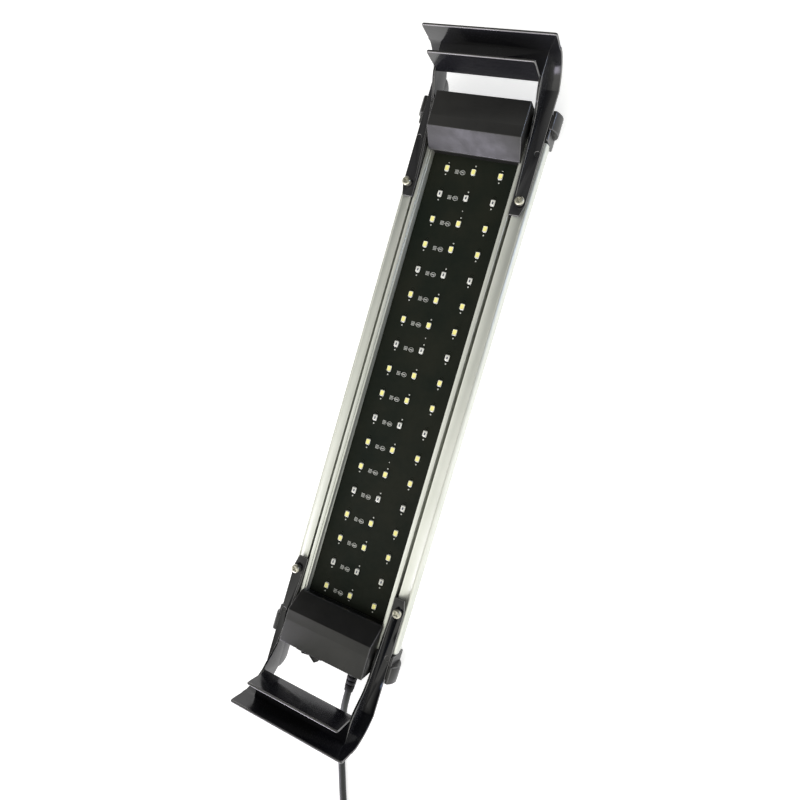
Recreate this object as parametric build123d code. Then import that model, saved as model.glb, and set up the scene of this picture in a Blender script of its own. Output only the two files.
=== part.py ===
from build123d import *
import math
import os

# LED aquarium light lying on its back: +X across the lamp, +Y along it, +Z the way the LEDs face.
# The origin is the centre of the housing's flat back. All lengths are in millimetres.
# "Top" is the +Y end and "cord end" the -Y end. Both ends carry the same mouldings, turned half round.

# ---- driving dimensions ----
HOUSING_END = 164.0          # half length of the aluminium extrusion
WALL = 2.0                   # extrusion wall
HALF_WIDTH = 42.8            # widest point of the extrusion
WIDEST_Z = 12.2
BACK_HALF = 37.0             # half width of the flat back
STRIP_IN = (34.0, 16.2)      # inner and outer edge of the sloping side strip, as x, z
STRIP_OUT = (40.2, 14.3)
STRIP_THICK = 2.0
RIB_IN, RIB_OUT, RIB_TOP = 28.9, 32.1, 17.0
LEDGE_X, LEDGE_Z = 29.8, 15.6                    # step down on the inner side of each rib
FLOOR_TOP = 9.2              # floor that carries the LED board
PORT_X, PORT_Z = 24.5, 4.6   # screw ports for the end covers
PORT_R, PORT_WALL = 1.45, 1.3

BOARD_HALF_X, BOARD_HALF_Y = 28.6, 158.0
TAPE_THICK = 0.3
BOARD_TOP = 10.8
LED_ROWS, LED_PITCH_Y, LED_Y0 = 18, 50.0 / 3.0, -0.6
LED_PITCH_X, LED_X0 = 18.0, 0.8
LED_W, LED_L, LED_H = 2.8, 3.5, 0.9
BLUE_EVERY = 3               # every third row is blue, from the second
RESISTOR_X, RESISTOR_DY = -6.3, -1.2

BLOCK_HALF = 30.4            # half width of the raised block on each end
BLOCK_TOP = 30.6
HOOD_IN, HOOD_FOOT_Z = 148.7, 18.5
RIDGE_Y = 159.0
SKIRT_IN, SKIRT_HALF = 149.5, 28.6
HOOD_WALL = 1.8
PARTING_Y = 165.6            # joint between hood and end cover
COVER_IN, COVER_END = 164.6, 180.6
COVER_BASE = 0.6
LUG_IN, LUG_OUT, LUG_TOP = 41.3, 46.2, 18.0
LUG_Y0, LUG_Y1 = 171.0, 182.2
CHANNEL_IN, CHANNEL_HOOK, CHANNEL_FLOOR, CHANNEL_LIP = 31.95, 38.2, 7.0, 16.2
CAVITY_HALF, CAVITY_FLOOR, CAVITY_TOP, CAVITY_END = 28.4, 9.0, 28.6, 178.6

LIP_Z0, LIP_Z1 = 16.5, 18.3  # flat lip of each bracket arm
LIP_OUT = 41.0
WEB_IN, WEB_OUT = 32.35, 33.85
TONGUE_IN, TONGUE_OUT, TONGUE_Z = 32.4, 33.7, 7.4
HOOK_OUT, HOOK_Z0, HOOK_Z1 = 37.3, 11.0, 12.6
ARM_IN, ARM_CREASE = 117.3, 193.5
FLANGE_IN, FLANGE_OUT, FLANGE_TOP, FLANGE_HALF = 206.4, 208.0, 53.6, 40.7
INNER_IN, INNER_OUT, INNER_TOP, INNER_FOOT = 191.0, 192.6, 53.6, 32.2
INNER_HALF = 32.8
SLOT_FLOOR, SLOT_FLOOR_THICK = 36.4, 1.6          # full-width floor between the two flanges
SHEET_LOW = 24.0             # lower edge of the back sheet between the arms
BOTTOM_SHIFT = 11.0          # the cord-end bracket is pulled out this much further at rest

SCREW_X, SCREW_Y = 37.5, 125.6
SCREW_R, SCREW_HEAD_R = 1.5, 2.9
SCREW_TIP, SCREW_HEAD_Z, SCREW_TOP = 15.95, 20.3, 22.7
INSERT_R, INSERT_BORE, INSERT_TOP = 2.4, 1.55, 18.9

SWITCH_X, SWITCH_Z = -8.6, 22.6
BEZEL_W, BEZEL_H, BEZEL_T = 19.4, 12.6, 1.2
SWITCH_W, SWITCH_H, SWITCH_DEEP = 17.2, 10.8, 13.0
ROCKER_HALF, ROCKER_HALF_Z, ROCKER_TILT = 7.2, 4.2, 12.0
PIN_R, PIN_REACH = 1.2, 5.05
TERMINAL_X, TERMINAL_LONG = 5.0, 4.5
WIRE_R, WIRE_BEND = 0.7, 1.2

CORD_R = 2.3
CORD_X, CORD_EXIT_Z = 17.0, 7.6
RELIEF_LONG, RELIEF_R0, RELIEF_R1 = 22.0, 3.9, 2.9
COIL_X, COIL_Y, COIL_R = 20.0, -337.0, 27.6      # centre and mean radius of the wound spare cord
COIL_HALF = 6.9                                   # half thickness of the bundle of turns
PLUG_Y = COIL_Y - COIL_R - 2 * CORD_R            # the last turn is the outermost one
PLUG_X = -9.0                                     # cord side of the plug's sleeve
PLUG_SLEEVE, PLUG_LONG, PLUG_HALF_Y, PLUG_HALF_Z = 12.0, 26.0, 10.5, 6.5
BLADE_LONG, BLADE_HIGH, BLADE_THICK, BLADE_GAP = 16.0, 6.3, 1.5, 12.7


# ---- helpers ----
def block(x0, x1, y0, y1, z0, z1):
    """A box given by its limits."""
    return Pos((x0 + x1) / 2, (y0 + y1) / 2, (z0 + z1) / 2) * Box(x1 - x0, y1 - y0, z1 - z0)


def side_plate(face, x0, x1):
    """A face drawn in Y and Z, thickened from x0 to x1."""
    return extrude(Plane.YZ.offset(x0) * face, amount=x1 - x0)


def section(face, y0, y1):
    """A face drawn in X and Z, drawn out from y0 to y1."""
    return extrude(Plane.XZ.offset(-y0) * face, amount=-(y1 - y0))


def polygon(*points):
    return make_face(Polyline(*points, close=True))


def closed(*lines):
    """A face inside a chain of lines and arcs."""
    return make_face([edge for line in lines for edge in line.edges()])


def along(radius, start, end):
    """A round rod between two points."""
    way = Vector(*end) - Vector(*start)
    return Plane(origin=start, z_dir=way) * Cylinder(
        radius, way.length, align=(Align.CENTER, Align.CENTER, Align.MIN)
    )


def both_sides(solid):
    return solid + mirror(solid, about=Plane.YZ)


def half_turn(solid, outward=0.0):
    """The same piece at the cord end, moved outward along -Y."""
    return Pos(0, -outward, 0) * (Rot(0, 0, 180) * solid)


def save(name, shape):
    export_step(shape, f"parts/{name}.step")


def group(name, solids):
    save(name, Compound(children=list(solids)))


# ---- aluminium housing ----
def housing():
    """One extrusion: flat back, LED recess, two stepped ribs, a slot beside each and a sloping strip."""
    (xi, zi), (xo, zo) = STRIP_IN, STRIP_OUT
    outline = closed(
        Line((0, 0), (BACK_HALF, 0)),
        ThreePointArc((BACK_HALF, 0), (40.9, 2.3), (42.2, 7.0)),
        ThreePointArc((42.2, 7.0), (HALF_WIDTH, 10.6), (42.4, 13.0)),
        ThreePointArc((42.4, 13.0), (41.6, 14.2), (40.6, 14.6)),
        Polyline((40.6, 14.6), (xo, zo), (xi, zi), (xi, zi - STRIP_THICK), (39.6, 12.2)),
        ThreePointArc((39.6, 12.2), (40.8, 10.2), (40.2, 7.0)),
        ThreePointArc((40.2, 7.0), (39.2, 3.8), (BACK_HALF, WALL)),
        Polyline((BACK_HALF, WALL), (RIB_OUT, WALL), (RIB_OUT, RIB_TOP), (LEDGE_X, RIB_TOP),
                 (LEDGE_X, LEDGE_Z), (RIB_IN, LEDGE_Z), (RIB_IN, FLOOR_TOP), (0, FLOOR_TOP), (0, 0)),
    )
    half = section(outline, -HOUSING_END, HOUSING_END)
    half -= block(-1, RIB_IN, -200, 200, WALL, FLOOR_TOP - WALL)
    rod = Plane.XZ.offset(-HOUSING_END) * Pos(PORT_X, PORT_Z, 0)
    port = rod * extrude(Circle(PORT_R + PORT_WALL), amount=2 * HOUSING_END)
    half += port & block(0, 40, -200, 200, 1.0, FLOOR_TOP - 1.0)
    half -= rod * extrude(Circle(PORT_R), amount=2 * HOUSING_END)
    return both_sides(half)


# ---- LED board ----
def led_rows():
    """Row number from the top and its place along the lamp."""
    for row in range(LED_ROWS):
        yield row, LED_Y0 + ((LED_ROWS - 1) / 2 - row) * LED_PITCH_Y


def led_places(blue):
    for row, y in led_rows():
        if (row % BLUE_EVERY == 1) == blue:
            for column in (-1, 0, 1):
                yield LED_X0 + column * LED_PITCH_X, y


def led(x, y):
    body = block(x - LED_W / 2, x + LED_W / 2, y - LED_L / 2, y + LED_L / 2, BOARD_TOP, BOARD_TOP + LED_H)
    lens = Pos(x, y, BOARD_TOP + LED_H) * Cylinder(1.1, 0.3)
    return body - lens


def resistor(x, y):
    return block(x - 1.0, x + 1.0, y - 0.65, y + 0.65, BOARD_TOP, BOARD_TOP + 0.5)


# ---- end mouldings, drawn for the top end ----
def hood():
    """Raised block over the end of the board, with an inclined inner face and a skirt between the ribs."""
    outer = side_plate(
        polygon((HOOD_IN, RIB_TOP), (HOOD_IN, HOOD_FOOT_Z), (RIDGE_Y, BLOCK_TOP),
                (PARTING_Y, BLOCK_TOP), (PARTING_Y, RIB_TOP)),
        -BLOCK_HALF, BLOCK_HALF,
    )
    outer = fillet(outer.edges().filter_by(Axis.X).group_by(Axis.Z)[-1].sort_by(Axis.Y)[0], 0.7)
    outer += block(-SKIRT_HALF, SKIRT_HALF, SKIRT_IN, COVER_IN - 0.1, BOARD_TOP, RIB_TOP)
    inner = polygon((SKIRT_IN + 1.5, 0), (SKIRT_IN + 1.5, HOOD_FOOT_Z + 0.5),
                    (RIDGE_Y + 0.8, BLOCK_TOP - HOOD_WALL), (PARTING_Y + 1, BLOCK_TOP - HOOD_WALL),
                    (PARTING_Y + 1, 0))
    outer -= side_plate(inner, -SKIRT_HALF + 1.4, SKIRT_HALF - 1.4)
    collar = block(-28.3, 28.3, PARTING_Y - 1.2, PARTING_Y + 1.5, BOARD_TOP + 1, CAVITY_TOP - 0.1)
    collar -= block(-27.2, 27.2, PARTING_Y - 2, PARTING_Y + 2, BOARD_TOP, CAVITY_TOP - 1.2)
    return outer + collar


def end_cover():
    """Closes the extrusion: block with the switch chamber, arm channels and a lug on each side."""
    cover = block(-BLOCK_HALF, BLOCK_HALF, PARTING_Y, COVER_END, RIB_TOP, BLOCK_TOP)
    cover += block(-LUG_IN, LUG_IN, COVER_IN, COVER_END, COVER_BASE, RIB_TOP)
    cover += both_sides(section(polygon((LUG_IN - 0.5, COVER_BASE), (LUG_IN + 1.4, COVER_BASE),
                                        (LUG_IN + 1.4, LUG_TOP - 0.6), (LUG_IN - 0.5, LUG_TOP)), COVER_IN, COVER_END))
    bulge = closed(
        Line((LUG_IN, LUG_TOP), (LUG_IN, 1.6)),
        Line((LUG_IN, 1.6), (LUG_IN + 1.6, 1.6)),
        ThreePointArc((LUG_IN + 1.6, 1.6), (LUG_OUT, 11.0), (LUG_IN + 2.0, LUG_TOP)),
        Line((LUG_IN + 2.0, LUG_TOP), (LUG_IN, LUG_TOP)),
    )
    cover += both_sides(section(bulge, LUG_Y0, LUG_Y1))
    for side in (-1, 1):
        lip_cut = sorted((side * CHANNEL_IN, side * LUG_IN))
        hook_cut = sorted((side * CHANNEL_IN, side * CHANNEL_HOOK))
        cover -= block(*lip_cut, 160, 190, CHANNEL_LIP, 40)
        cover -= block(*hook_cut, 160, 190, CHANNEL_FLOOR, 40)
        screw = Plane.XZ.offset(-COVER_END) * Pos(side * PORT_X, PORT_Z, 0)
        cover -= screw * extrude(Circle(1.65), amount=30)
        cover -= screw * extrude(Circle(2.7), amount=2.4)
    cover -= block(-CAVITY_HALF, CAVITY_HALF, 160, CAVITY_END, CAVITY_FLOOR, CAVITY_TOP)
    cover -= block(-20.0, 20.0, 160, CAVITY_END, COVER_BASE + 2, CAVITY_FLOOR + 1)
    return cover


def gasket():
    """Thin seal between the extrusion's end and the cover."""
    seal = block(-31.6, 31.6, HOUSING_END, COVER_IN, 0.8, FLOOR_TOP - 0.4)
    seal -= block(-20.0, 20.0, HOUSING_END - 1, COVER_IN + 1, 2.6, FLOOR_TOP - WALL)
    for side in (-1, 1):
        seal -= Plane.XZ.offset(-HOUSING_END) * Pos(side * PORT_X, PORT_Z, 0) * Cylinder(1.8, 4)
    return seal


def cover_screw(side):
    """Pan-head screw from the outer face into the port of the extrusion."""
    x = side * PORT_X
    head = along(2.4, (x, COVER_END - 2.3, PORT_Z), (x, COVER_END - 0.4, PORT_Z))
    head -= block(x - 1.6, x + 1.6, COVER_END - 1.4, COVER_END, PORT_Z - 0.35, PORT_Z + 0.35)
    head -= block(x - 0.35, x + 0.35, COVER_END - 1.4, COVER_END, PORT_Z - 1.6, PORT_Z + 1.6)
    return head + along(1.4, (x, COVER_END - 20.0, PORT_Z), (x, COVER_END - 2.3, PORT_Z))


# ---- hanging bracket, drawn for the top end ----
def arm():
    """Right arm: flat lip on the strip, upright web, tongue in the slot and hook under the strip."""
    lip = polygon((WEB_IN, ARM_IN), (LIP_OUT - 1.8, ARM_IN), (LIP_OUT, ARM_IN + 7), (LIP_OUT, 194.0), (WEB_IN, 194.0))
    lip = extrude(Plane.XY.offset(LIP_Z0) * lip, amount=LIP_Z1 - LIP_Z0)
    lip -= Pos(SCREW_X, SCREW_Y, LIP_Z0) * Cylinder(INSERT_R, 20)
    lip -= Pos(39.0, SCREW_Y + 29.8, LIP_Z1) * Cylinder(1.5, 0.6)
    rise = Spline((126.0, LIP_Z1 - 0.4), (141.0, 19.9), (154.4, 21.8), (173.7, 25.9), (178.7, 28.4),
                  (183.1, 31.9), (189.2, 35.8))
    edge = closed(
        rise,
        Polyline((189.2, 35.8), (INNER_OUT, SLOT_FLOOR), (FLANGE_IN + 0.5, SLOT_FLOOR)),
        ThreePointArc((FLANGE_IN + 0.5, SLOT_FLOOR), (202.6, 26.0), (194.6, LIP_Z0 + 0.4)),
        Polyline((194.6, LIP_Z0 + 0.4), (126.0, LIP_Z0 + 0.4), (126.0, LIP_Z1 - 0.4)),
    )
    web = side_plate(edge, WEB_IN, WEB_OUT)
    tongue = side_plate(
        closed(
            Polyline((194.2, LIP_Z0 + 0.2), (ARM_IN, LIP_Z0 + 0.2), (ARM_IN, TONGUE_Z), (189.4, TONGUE_Z)),
            ThreePointArc((189.4, TONGUE_Z), (193.0, 10.4), (194.2, LIP_Z0 + 0.2)),
        ),
        TONGUE_IN, TONGUE_OUT,
    )
    hook = block(TONGUE_OUT - 0.3, HOOK_OUT, ARM_IN, 187.0, HOOK_Z0, HOOK_Z1)
    return lip + web + tongue + hook


def back_sheet():
    """Bulging sheet from the lips up to the outer flange, full width at its sides and above SHEET_LOW."""
    profile = closed(
        ThreePointArc((193.5, LIP_Z1), (201.8, 25.9), (FLANGE_IN, 35.9)),
        Polyline((FLANGE_IN, 35.9), (FLANGE_IN, FLANGE_TOP), (FLANGE_OUT, FLANGE_TOP), (FLANGE_OUT, 35.2)),
        ThreePointArc((FLANGE_OUT, 35.2), (203.2, 24.6), (193.9, LIP_Z0)),
        Line((193.9, LIP_Z0), (193.5, LIP_Z1)),
    )
    sheet = side_plate(profile, -LIP_OUT, LIP_OUT)
    sheet -= block(-WEB_IN, WEB_IN, 190, 210, 0, SHEET_LOW)
    for side in (-1, 1):
        trim = sorted((side * FLANGE_HALF, side * 45.0))
        sheet -= block(*trim, 190, 210, 40, 60)
    corners = sheet.edges().filter_by(Axis.Y).group_by(Axis.Z)[-1]
    return fillet(corners, 1.4)


def bracket():
    inner = block(-INNER_HALF, INNER_HALF, INNER_IN, INNER_OUT, INNER_FOOT, INNER_TOP)
    inner = fillet(inner.edges().filter_by(Axis.Y).group_by(Axis.Z)[-1], 1.2)
    slot = block(-WEB_IN, WEB_IN, INNER_OUT - 0.4, FLANGE_IN + 0.4, SLOT_FLOOR - SLOT_FLOOR_THICK, SLOT_FLOOR)
    return both_sides(arm()) + back_sheet() + inner + slot


def lock_screw(side):
    """Pan-head clamping screw with a cross recess."""
    top = Pos(side * SCREW_X, SCREW_Y, 0)
    head = Pos(0, 0, SCREW_HEAD_Z) * Cylinder(
        SCREW_HEAD_R, SCREW_TOP - SCREW_HEAD_Z, align=(Align.CENTER, Align.CENTER, Align.MIN)
    )
    head = fillet(head.edges().group_by(Axis.Z)[-1], 1.2)
    for turn in (45, 135):
        head -= Pos(0, 0, SCREW_TOP) * Rot(0, 0, turn) * Box(3.4, 0.8, 2.4)
    shank = Pos(0, 0, SCREW_TIP) * Cylinder(
        SCREW_R, SCREW_HEAD_Z - SCREW_TIP, align=(Align.CENTER, Align.CENTER, Align.MIN)
    )
    return top * (head + shank)


def lock_insert(side):
    """Brass thread insert pressed into the lip."""
    sleeve = Cylinder(INSERT_R, INSERT_TOP - LIP_Z0, align=(Align.CENTER, Align.CENTER, Align.MIN))
    sleeve -= Cylinder(INSERT_BORE, 20)
    return Pos(side * SCREW_X, SCREW_Y, LIP_Z0) * sleeve


# ---- switch in the cord-end cover ----
FACE_Y = -COVER_END
PIVOT_Y = FACE_Y


def switch_body():
    bezel = block(SWITCH_X - BEZEL_W / 2, SWITCH_X + BEZEL_W / 2, FACE_Y - BEZEL_T, FACE_Y,
                  SWITCH_Z - BEZEL_H / 2, SWITCH_Z + BEZEL_H / 2)
    bezel = fillet(bezel.edges().filter_by(Axis.Y), 1.0)
    body = block(SWITCH_X - SWITCH_W / 2, SWITCH_X + SWITCH_W / 2, FACE_Y, FACE_Y + SWITCH_DEEP,
                 SWITCH_Z - SWITCH_H / 2, SWITCH_Z + SWITCH_H / 2)
    body += bezel
    body -= block(SWITCH_X - 7.8, SWITCH_X + 7.8, FACE_Y - 3, FACE_Y + 8.0, SWITCH_Z - 4.5, SWITCH_Z + 4.5)
    for end in (-1, 1):
        start = (SWITCH_X, PIVOT_Y, SWITCH_Z + end * 4.3)
        body -= along(PIN_R + 0.05, start, (SWITCH_X, PIVOT_Y, SWITCH_Z + end * (PIN_REACH + 0.05)))
    return body


def switch_rocker():
    """Rocker with a dished face, tilted so that its +X end stands out."""
    half = ROCKER_HALF
    outline = polygon((-half, -0.5), (-3.0, -4.0), (3.0, -4.0), (half, -0.5), (half, 2.2), (5.2, 4.6),
                      (0, 2.6), (-5.2, 4.6), (-half, 2.2))
    rocker = extrude(outline, amount=ROCKER_HALF_Z, both=True)
    rocker = fillet(rocker.edges().filter_by(Axis.Z).group_by(Axis.Y)[-1], 0.5)
    rocker += Cylinder(PIN_R, 2 * PIN_REACH)
    return Pos(SWITCH_X, PIVOT_Y, SWITCH_Z) * Rot(0, 0, -ROCKER_TILT) * Rot(0, 0, 180) * rocker


def switch_terminals():
    back = FACE_Y + SWITCH_DEEP
    for x in (SWITCH_X - TERMINAL_X, SWITCH_X + TERMINAL_X):
        yield block(x - 1.6, x + 1.6, back, back + TERMINAL_LONG, SWITCH_Z - 0.3, SWITCH_Z + 0.3)


# ---- driver in the cord-end hood ----
DRIVER_Z0, DRIVER_Z1 = 14.0, 15.2
DRIVER_Y0, DRIVER_Y1 = -164.0, -153.5


def driver_parts():
    """Capacitor, choke, rectifier and fuse on the driver board."""
    y = (DRIVER_Y0 + DRIVER_Y1) / 2
    yield along(3.4, (-24.0, y, DRIVER_Z1 + 3.4), (-11.0, y, DRIVER_Z1 + 3.4))
    yield block(-8.0, 2.0, y - 4.0, y + 4.0, DRIVER_Z1, DRIVER_Z1 + 6.4)
    yield block(5.0, 11.0, y - 2.5, y + 2.5, DRIVER_Z1, DRIVER_Z1 + 2.2)
    yield along(1.7, (14.0, y, DRIVER_Z1 + 1.7), (24.0, y, DRIVER_Z1 + 1.7))


def standoffs():
    for x in (-23.0, 23.0):
        for y in (DRIVER_Y0 + 2.5, DRIVER_Y1 - 2.5):
            yield along(1.8, (x, y, BOARD_TOP), (x, y, DRIVER_Z0))


def wire_run(radius, *points):
    """A round wire with an easy bend at each point."""
    path = FilletPolyline(*points, radius=WIRE_BEND)
    return sweep(Plane(origin=path @ 0, z_dir=path % 0) * Circle(radius), path=path)


def driver_leads():
    """Supply wires from the cord to the driver and the switch, and pins down to the LED board."""
    inlet = FACE_Y + 4.0
    back = FACE_Y + SWITCH_DEEP + TERMINAL_LONG
    edge, live_x = CORD_X + 1.0, CORD_X - 1.4
    near, far = SWITCH_X + TERMINAL_X, SWITCH_X - TERMINAL_X
    yield wire_run(WIRE_R, (edge, inlet, CORD_EXIT_Z), (edge, inlet + 7.0, CORD_EXIT_Z),
                   (edge, inlet + 9.5, DRIVER_Z0 + 0.6), (edge, DRIVER_Y0, DRIVER_Z0 + 0.6))
    yield wire_run(WIRE_R, (live_x, inlet, CORD_EXIT_Z), (live_x, inlet + 4.5, CORD_EXIT_Z),
                   (live_x, inlet + 4.5, SWITCH_Z), (live_x, back + 2.8, SWITCH_Z), (near, back + 2.8, SWITCH_Z),
                   (near, back, SWITCH_Z))
    yield wire_run(WIRE_R, (far, back, SWITCH_Z), (far, back + 2.5, SWITCH_Z),
                   (far + 4.6, back + 2.5, SWITCH_Z), (far + 4.6, back + 2.5, DRIVER_Z1))
    for x in (-18.5, -15.5):
        yield along(0.6, (x, DRIVER_Y1 - 1.5, BOARD_TOP), (x, DRIVER_Y1 - 1.5, DRIVER_Z0))


# ---- cord ----
RELIEF_END = FACE_Y - RELIEF_LONG
CORD_FLOOR = CORD_R + 0.02
CORD_ROUTE = [
    (CORD_X, RELIEF_END, CORD_EXIT_Z),
    (17.0, -211.5, CORD_EXIT_Z),
    (17.2, -221.5, 4.4),
    (18.7, -233.0, CORD_FLOOR),
    (22.3, -245.0, CORD_FLOOR),
    (27.1, -258.0, CORD_FLOOR),
    (32.4, -272.5, CORD_FLOOR),
    (38.2, -286.5, CORD_FLOOR),
    (43.2, -300.5, CORD_FLOOR),
    (46.5, -314.5, CORD_FLOOR),
    (47.6, -328.5, CORD_FLOOR),
]
PLUG_AXIS = PLUG_HALF_Z + 0.02
PLUG_LEAD_ROUTE = [
    (COIL_X - 3.0, PLUG_Y, 6.9),
    (COIL_X - 12.0, PLUG_Y + 0.2, 6.7),
    (COIL_X - 21.0, PLUG_Y + 0.05, PLUG_AXIS + 0.05),
    (PLUG_X, PLUG_Y, PLUG_AXIS),
]


def arc_radii(points):
    """0.45 of the shorter run over the tangent of half the turn, at each inner point."""
    for a, b, c in zip(points, points[1:], points[2:]):
        first, second = Vector(*b) - Vector(*a), Vector(*c) - Vector(*b)
        turn = math.radians(first.get_angle(second))
        yield 0.45 * min(first.length, second.length) / math.tan(turn / 2)


def cord_tube(points):
    radii = list(arc_radii(points))
    path = FilletPolyline(*points, radius=radii)
    tube = sweep(Plane(origin=path @ 0, z_dir=path % 0) * Circle(CORD_R), path=path)
    print("cord arc radii", [round(r, 1) for r in radii], "length", round(path.length, 1),
          "volume over section", round(tube.volume / (math.pi * CORD_R**2), 1))
    return tube


def strain_relief():
    """Flanged collar in the cover and a tapered sleeve round the cord."""
    sleeve = Plane(origin=(CORD_X, FACE_Y, CORD_EXIT_Z), z_dir=(0, -1, 0)) * Cone(
        RELIEF_R0, RELIEF_R1, RELIEF_LONG, align=(Align.CENTER, Align.CENTER, Align.MIN)
    )
    sleeve += along(4.6, (CORD_X, FACE_Y - 1.6, CORD_EXIT_Z), (CORD_X, FACE_Y, CORD_EXIT_Z))
    sleeve += along(3.4, (CORD_X, FACE_Y, CORD_EXIT_Z), (CORD_X, FACE_Y + 4.0, CORD_EXIT_Z))
    for k in range(4):
        y = FACE_Y - 5.0 - 3.6 * k
        ring = along(5.0, (CORD_X, y - 1.2, CORD_EXIT_Z), (CORD_X, y, CORD_EXIT_Z))
        ring -= along(2.6, (CORD_X, y - 1.3, CORD_EXIT_Z), (CORD_X, y + 0.1, CORD_EXIT_Z))
        ring -= block(CORD_X - 0.7, CORD_X + 0.7, y - 2, y + 1, 0, 20)
        sleeve -= ring
    return sleeve


def cord_coil():
    """Outer shape of the neat coil that holds the spare length."""
    rounded = fillet(Rectangle(2 * COIL_HALF, 2 * COIL_HALF).vertices(), 3.0)
    ring = Plane.XZ * Pos(COIL_R, COIL_HALF, 0) * rounded
    return Pos(COIL_X, COIL_Y, 0) * revolve(ring, axis=Axis.Z)


def cord_tie():
    """Strap round the bundle, on the side away from the lamp."""
    low, high = COIL_R - COIL_HALF, COIL_R + COIL_HALF
    strap = block(low - 1.0, high + 1.0, -2.5, 2.5, 0, 2 * COIL_HALF + 1.0)
    strap -= block(low, high, -3, 3, 1.0, 2 * COIL_HALF)
    return Pos(COIL_X, COIL_Y, 0) * Rot(0, 0, -30) * strap


def plug_body():
    """Moulded plug with a ribbed sleeve towards the cord."""
    x0, x1 = PLUG_X - PLUG_SLEEVE, PLUG_X - PLUG_SLEEVE - PLUG_LONG
    grip = block(x1, x0, PLUG_Y - PLUG_HALF_Y, PLUG_Y + PLUG_HALF_Y, 0.02, 2 * PLUG_HALF_Z + 0.02)
    grip = fillet(grip.edges().filter_by(Axis.X), 3.0)
    grip = chamfer(grip.faces().sort_by(Axis.X)[-1].edges(), 2.0)
    sleeve = Plane(origin=(x0 - 1.0, PLUG_Y, PLUG_AXIS), z_dir=(1, 0, 0)) * Cone(
        4.4, 3.1, PLUG_SLEEVE + 1.0, align=(Align.CENTER, Align.CENTER, Align.MIN)
    )
    return grip + sleeve


def plug_blades():
    x1 = PLUG_X - PLUG_SLEEVE - PLUG_LONG
    for side in (-1, 1):
        y = PLUG_Y + side * BLADE_GAP / 2
        blade = block(x1 - BLADE_LONG, x1, y - BLADE_THICK / 2, y + BLADE_THICK / 2,
                      PLUG_AXIS - BLADE_HIGH / 2, PLUG_AXIS + BLADE_HIGH / 2)
        tip = blade.edges().filter_by(Axis.Z).group_by(Axis.X)[0]
        yield chamfer(tip, 0.4)


# ---- write the nodes ----
os.makedirs("parts", exist_ok=True)

save("housing", housing())
save("thermal_tape", block(-26, 26, -150, 150, FLOOR_TOP, FLOOR_TOP + TAPE_THICK))
save("led_board", block(-BOARD_HALF_X, BOARD_HALF_X, -BOARD_HALF_Y, BOARD_HALF_Y, FLOOR_TOP + TAPE_THICK, BOARD_TOP))
group("white_leds", [led(x, y) for x, y in led_places(False)])
group("blue_leds", [led(x, y) for x, y in led_places(True)])
group("resistors", [resistor(RESISTOR_X, y + RESISTOR_DY) for _, y in led_rows()])

top_hood, top_cover, top_bracket = hood(), end_cover(), bracket()
save("hood_top", top_hood)
save("hood_cord_end", half_turn(top_hood))
save("end_cover_top", top_cover)
cord_cover = half_turn(top_cover)
cord_cover -= block(SWITCH_X - SWITCH_W / 2, SWITCH_X + SWITCH_W / 2, FACE_Y - 1, FACE_Y + 4,
                    SWITCH_Z - SWITCH_H / 2, SWITCH_Z + SWITCH_H / 2)
cord_cover -= along(3.4, (CORD_X, FACE_Y - 1, CORD_EXIT_Z), (CORD_X, FACE_Y + 4, CORD_EXIT_Z))
save("end_cover_cord_end", cord_cover)
save("gasket_top", gasket())
save("gasket_cord_end", half_turn(gasket()))
for end in ("top", "cord_end"):
    screws = [cover_screw(side) for side in (-1, 1)]
    group(f"cover_screws_{end}", screws if end == "top" else [half_turn(s) for s in screws])

save("bracket_top", top_bracket)
save("bracket_bottom", half_turn(top_bracket, BOTTOM_SHIFT))
group("lock_inserts_top", [lock_insert(side) for side in (-1, 1)])
group("lock_inserts_bottom", [half_turn(lock_insert(side), BOTTOM_SHIFT) for side in (-1, 1)])
for name, side in (("left", -1), ("right", 1)):
    save(f"lock_screw_top_{name}", lock_screw(side))
    save(f"lock_screw_bottom_{name}", half_turn(lock_screw(-side), BOTTOM_SHIFT))

save("switch_body", switch_body())
save("switch_rocker", switch_rocker())
group("switch_terminals", switch_terminals())
save("driver_board", block(-26.6, 26.6, DRIVER_Y0, DRIVER_Y1, DRIVER_Z0, DRIVER_Z1))
group("driver_parts", driver_parts())
group("driver_standoffs", standoffs())
group("driver_leads", driver_leads())

save("strain_relief", strain_relief())
save("power_cord", cord_tube(CORD_ROUTE))
save("cord_coil", cord_coil())
save("plug_lead", cord_tube(PLUG_LEAD_ROUTE))
save("cord_tie", cord_tie())
save("plug_body", plug_body())
group("plug_blades", plug_blades())
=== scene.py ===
import math

import bmesh
import bpy
from mathutils import Matrix, Vector


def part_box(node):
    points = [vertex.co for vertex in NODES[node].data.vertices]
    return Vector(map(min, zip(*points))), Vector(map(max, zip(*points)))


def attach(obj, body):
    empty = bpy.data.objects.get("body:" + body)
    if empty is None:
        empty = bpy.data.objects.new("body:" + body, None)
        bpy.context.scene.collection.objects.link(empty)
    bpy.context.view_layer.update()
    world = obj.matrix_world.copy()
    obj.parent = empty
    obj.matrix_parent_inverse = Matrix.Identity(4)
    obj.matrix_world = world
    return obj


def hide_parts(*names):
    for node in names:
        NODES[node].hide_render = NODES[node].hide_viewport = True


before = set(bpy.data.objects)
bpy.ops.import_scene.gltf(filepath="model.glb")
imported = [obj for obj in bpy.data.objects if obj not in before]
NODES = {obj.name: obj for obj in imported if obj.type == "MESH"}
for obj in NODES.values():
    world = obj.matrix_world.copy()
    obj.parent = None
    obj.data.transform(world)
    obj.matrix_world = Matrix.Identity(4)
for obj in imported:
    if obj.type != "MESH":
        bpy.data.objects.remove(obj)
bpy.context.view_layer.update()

# LED aquarium light lying on its back. Everything is in metres, in the CAD frame:
# +X across the lamp, +Y along it away from the cord, +Z the way the LEDs face.
MM = 0.001
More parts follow.
